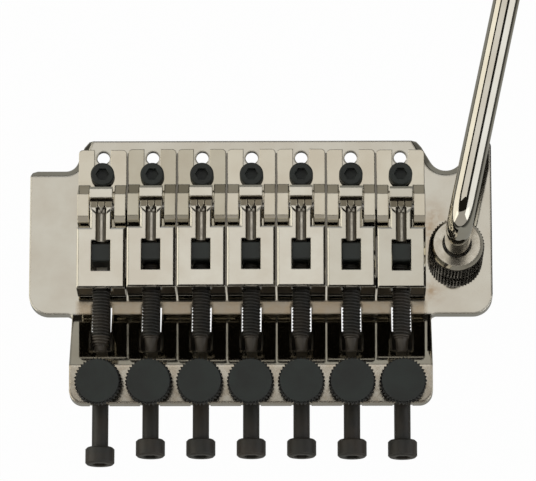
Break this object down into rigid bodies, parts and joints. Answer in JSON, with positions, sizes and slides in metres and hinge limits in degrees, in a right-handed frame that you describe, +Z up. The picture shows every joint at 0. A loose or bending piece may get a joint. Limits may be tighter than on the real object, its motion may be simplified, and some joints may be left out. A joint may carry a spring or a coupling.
{
  "type": "guitar tremolo bridge",
  "caption": "Locking knife-edge tremolo bridge for an electric guitar: rocking saddles with insert blocks and lock screws, thumbscrew fine tuners, sustain block and swinging arm.",
  "frame": {"origin": "on the line of the two knife edges, under the middle string", "axes": "+X towards the thin-string side, +Y along the strings towards the neck, +Z up out of the guitar's top"},
  "size_m": [0.1199, 0.1666, 0.078],
  "materials": {
    "polished_nickel": "polished dark nickel plate",
    "black_screw": "black oxide, slightly oily",
    "black_tuner": "satin black plate",
    "steel": "turned steel",
    "spring_steel": "dark spring steel",
    "block_metal": "satin nickel-plated brass",
    "nylon": "natural nylon"
  },
  "bodies": {
    "bridge": {"base_plate": "polished_nickel", "sustain_block": "block_metal", "block_screws": "black_screw", "intonation_screws": "black_screw", "spring_comb": "spring_steel", "spring_screws": "black_screw", "arm_socket": "steel", "socket_washer": "steel", "socket_nut": "steel", "arm_sleeve": "nylon", "friction_washer": "nylon"},
    "saddle_1": {"saddle_foot_1": "polished_nickel", "pivot_pin_1": "steel"},
    "lever_1": {"saddle_lever_1": "polished_nickel"},
    "lock_1": {"lock_screw_1": "black_screw"},
    "insert_1": {"insert_block_1": "black_screw"},
    "tuner_1": {"fine_tuner_1": "black_tuner"},
    "saddle_2": {"saddle_foot_2": "polished_nickel", "pivot_pin_2": "steel"},
    "lever_2": {"saddle_lever_2": "polished_nickel"},
    "lock_2": {"lock_screw_2": "black_screw"},
    "insert_2": {"insert_block_2": "black_screw"},
    "tuner_2": {"fine_tuner_2": "black_tuner"},
    "saddle_3": {"saddle_foot_3": "polished_nickel", "pivot_pin_3": "steel"},
    "lever_3": {"saddle_lever_3": "polished_nickel"},
    "lock_3": {"lock_screw_3": "black_screw"},
    "insert_3": {"insert_block_3": "black_screw"},
    "tuner_3": {"fine_tuner_3": "black_tuner"},
    "saddle_4": {"saddle_foot_4": "polished_nickel", "pivot_pin_4": "steel"},
    "lever_4": {"saddle_lever_4": "polished_nickel"},
    "lock_4": {"lock_screw_4": "black_screw"},
    "insert_4": {"insert_block_4": "black_screw"},
    "tuner_4": {"fine_tuner_4": "black_tuner"},
    "saddle_5": {"saddle_foot_5": "polished_nickel", "pivot_pin_5": "steel"},
    "lever_5": {"saddle_lever_5": "polished_nickel"},
    "lock_5": {"lock_screw_5": "black_screw"},
    "insert_5": {"insert_block_5": "black_screw"},
    "tuner_5": {"fine_tuner_5": "black_tuner"},
    "saddle_6": {"saddle_foot_6": "polished_nickel", "pivot_pin_6": "steel"},
    "lever_6": {"saddle_lever_6": "polished_nickel"},
    "lock_6": {"lock_screw_6": "black_screw"},
    "insert_6": {"insert_block_6": "black_screw"},
    "tuner_6": {"fine_tuner_6": "black_tuner"},
    "saddle_7": {"saddle_foot_7": "polished_nickel", "pivot_pin_7": "steel"},
    "lever_7": {"saddle_lever_7": "polished_nickel"},
    "lock_7": {"lock_screw_7": "black_screw"},
    "insert_7": {"insert_block_7": "black_screw"},
    "tuner_7": {"fine_tuner_7": "black_tuner"},
    "arm": {"tremolo_arm": "polished_nickel", "arm_clip": "spring_steel"},
    "collar": {"arm_collar": "polished_nickel"}
  },
  "joints": [
    {"name": "saddle_1_intonation", "type": "slide", "parent": "bridge", "child": "saddle_1", "axis": [0, 1, 0], "range_m": [-0.002, 0.0012]},
    {"name": "tuner_1_travel", "type": "slide", "parent": "bridge", "child": "tuner_1", "axis": [0, 0.1392, -0.9903], "range_m": [-0.0012, 0.002]},
    {"name": "lever_1_tilt", "type": "hinge", "parent": "saddle_1", "child": "lever_1", "pos_m": [-0.0321, -0.00987, 0.0065], "axis": [1, 0, 0], "range_deg": [-1.9, 3.1], "deforming": ["spring_comb"]},
    {"name": "lock_1_travel", "type": "slide", "parent": "lever_1", "child": "lock_1", "axis": [0, -1, 0], "range_m": [-0.0005, 0.0015]},
    {"name": "insert_1_travel", "type": "slide", "parent": "lever_1", "child": "insert_1", "axis": [0, -1, 0], "range_m": [-0.0005, 0.0015]},
    {"name": "saddle_2_intonation", "type": "slide", "parent": "bridge", "child": "saddle_2", "axis": [0, 1, 0], "range_m": [-0.002, 0.0012]},
    {"name": "tuner_2_travel", "type": "slide", "parent": "bridge", "child": "tuner_2", "axis": [0, 0.1392, -0.9903], "range_m": [-0.0012, 0.002]},
    {"name": "lever_2_tilt", "type": "hinge", "parent": "saddle_2", "child": "lever_2", "pos_m": [-0.0214, -0.0097, 0.0065], "axis": [1, 0, 0], "range_deg": [-1.9, 3.1], "deforming": ["spring_comb"]},
    {"name": "lock_2_travel", "type": "slide", "parent": "lever_2", "child": "lock_2", "axis": [0, -1, 0], "range_m": [-0.0005, 0.0015]},
    {"name": "insert_2_travel", "type": "slide", "parent": "lever_2", "child": "insert_2", "axis": [0, -1, 0], "range_m": [-0.0005, 0.0015]},
    {"name": "saddle_3_intonation", "type": "slide", "parent": "bridge", "child": "saddle_3", "axis": [0, 1, 0], "range_m": [-0.002, 0.0012]},
    {"name": "tuner_3_travel", "type": "slide", "parent": "bridge", "child": "tuner_3", "axis": [0, 0.1392, -0.9903], "range_m": [-0.0012, 0.002]},
    {"name": "lever_3_tilt", "type": "hinge", "parent": "saddle_3", "child": "lever_3", "pos_m": [-0.0107, -0.0097, 0.0065], "axis": [1, 0, 0], "range_deg": [-1.9, 3.1], "deforming": ["spring_comb"]},
    {"name": "lock_3_travel", "type": "slide", "parent": "lever_3", "child": "lock_3", "axis": [0, -1, 0], "range_m": [-0.0005, 0.0015]},
    {"name": "insert_3_travel", "type": "slide", "parent": "lever_3", "child": "insert_3", "axis": [0, -1, 0], "range_m": [-0.0005, 0.0015]},
    {"name": "saddle_4_intonation", "type": "slide", "parent": "bridge", "child": "saddle_4", "axis": [0, 1, 0], "range_m": [-0.002, 0.0012]},
    {"name": "tuner_4_travel", "type": "slide", "parent": "bridge", "child": "tuner_4", "axis": [0, 0.1392, -0.9903], "range_m": [-0.0012, 0.002]},
    {"name": "lever_4_tilt", "type": "hinge", "parent": "saddle_4", "child": "lever_4", "pos_m": [0, -0.0097, 0.0065], "axis": [1, 0, 0], "range_deg": [-1.9, 3.1], "deforming": ["spring_comb"]},
    {"name": "lock_4_travel", "type": "slide", "parent": "lever_4", "child": "lock_4", "axis": [0, -1, 0], "range_m": [-0.0005, 0.0015]},
    {"name": "insert_4_travel", "type": "slide", "parent": "lever_4", "child": "insert_4", "axis": [0, -1, 0], "range_m": [-0.0005, 0.0015]},
    {"name": "saddle_5_intonation", "type": "slide", "parent": "bridge", "child": "saddle_5", "axis": [0, 1, 0], "range_m": [-0.002, 0.0012]},
    {"name": "tuner_5_travel", "type": "slide", "parent": "bridge", "child": "tuner_5", "axis": [0, 0.1392, -0.9903], "range_m": [-0.0012, 0.002]},
    {"name": "lever_5_tilt", "type": "hinge", "parent": "saddle_5", "child": "lever_5", "pos_m": [0.0107, -0.0097, 0.0065], "axis": [1, 0, 0], "range_deg": [-1.9, 3.1], "deforming": ["spring_comb"]},
    {"name": "lock_5_travel", "type": "slide", "parent": "lever_5", "child": "lock_5", "axis": [0, -1, 0], "range_m": [-0.0005, 0.0015]},
    {"name": "insert_5_travel", "type": "slide", "parent": "lever_5", "child": "insert_5", "axis": [0, -1, 0], "range_m": [-0.0005, 0.0015]},
    {"name": "saddle_6_intonation", "type": "slide", "parent": "bridge", "child": "saddle_6", "axis": [0, 1, 0], "range_m": [-0.002, 0.0012]},
    {"name": "tuner_6_travel", "type": "slide", "parent": "bridge", "child": "tuner_6", "axis": [0, 0.1392, -0.9903], "range_m": [-0.0012, 0.002]},
    {"name": "lever_6_tilt", "type": "hinge", "parent": "saddle_6", "child": "lever_6", "pos_m": [0.0214, -0.00982, 0.0065], "axis": [1, 0, 0], "range_deg": [-1.9, 3.1], "deforming": ["spring_comb"]},
    {"name": "lock_6_travel", "type": "slide", "parent": "lever_6", "child": "lock_6", "axis": [0, -1, 0], "range_m": [-0.0005, 0.0015]},
    {"name": "insert_6_travel", "type": "slide", "parent": "lever_6", "child": "insert_6", "axis": [0, -1, 0], "range_m": [-0.0005, 0.0015]},
    {"name": "saddle_7_intonation", "type": "slide", "parent": "bridge", "child": "saddle_7", "axis": [0, 1, 0], "range_m": [-0.002, 0.0012]},
    {"name": "tuner_7_travel", "type": "slide", "parent": "bridge", "child": "tuner_7", "axis": [0, 0.1392, -0.9903], "range_m": [-0.0012, 0.002]},
    {"name": "lever_7_tilt", "type": "hinge", "parent": "saddle_7", "child": "lever_7", "pos_m": [0.0321, -0.00992, 0.0065], "axis": [1, 0, 0], "range_deg": [-1.9, 3.1], "deforming": ["spring_comb"]},
    {"name": "lock_7_travel", "type": "slide", "parent": "lever_7", "child": "lock_7", "axis": [0, -1, 0], "range_m": [-0.0005, 0.0015]},
    {"name": "insert_7_travel", "type": "slide", "parent": "lever_7", "child": "insert_7", "axis": [0, -1, 0], "range_m": [-0.0005, 0.0015]},
    {"name": "arm_swing", "type": "hinge", "parent": "bridge", "child": "arm", "pos_m": [0.04395, -0.01875, 0.0015], "axis": [0, 0, 1], "continuous": true},
    {"name": "collar_turn", "type": "hinge", "parent": "bridge", "child": "collar", "pos_m": [0.04395, -0.01875, 0.0015], "axis": [0, 0, 1], "continuous": true}
  ],
  "couplings": [
    {"joint": "lever_1_tilt", "follows": "tuner_1_travel", "rad_per_m": 25.293},
    {"joint": "insert_1_travel", "follows": "lock_1_travel", "ratio": 1},
    {"joint": "lever_2_tilt", "follows": "tuner_2_travel", "rad_per_m": 25.184},
    {"joint": "insert_2_travel", "follows": "lock_2_travel", "ratio": 1},
    {"joint": "lever_3_tilt", "follows": "tuner_3_travel", "rad_per_m": 25.184},
    {"joint": "insert_3_travel", "follows": "lock_3_travel", "ratio": 1},
    {"joint": "lever_4_tilt", "follows": "tuner_4_travel", "rad_per_m": 25.184},
    {"joint": "insert_4_travel", "follows": "lock_4_travel", "ratio": 1},
    {"joint": "lever_5_tilt", "follows": "tuner_5_travel", "rad_per_m": 25.184},
    {"joint": "insert_5_travel", "follows": "lock_5_travel", "ratio": 1},
    {"joint": "lever_6_tilt", "follows": "tuner_6_travel", "rad_per_m": 25.261},
    {"joint": "insert_6_travel", "follows": "lock_6_travel", "ratio": 1},
    {"joint": "lever_7_tilt", "follows": "tuner_7_travel", "rad_per_m": 25.326},
    {"joint": "insert_7_travel", "follows": "lock_7_travel", "ratio": 1}
  ]
}
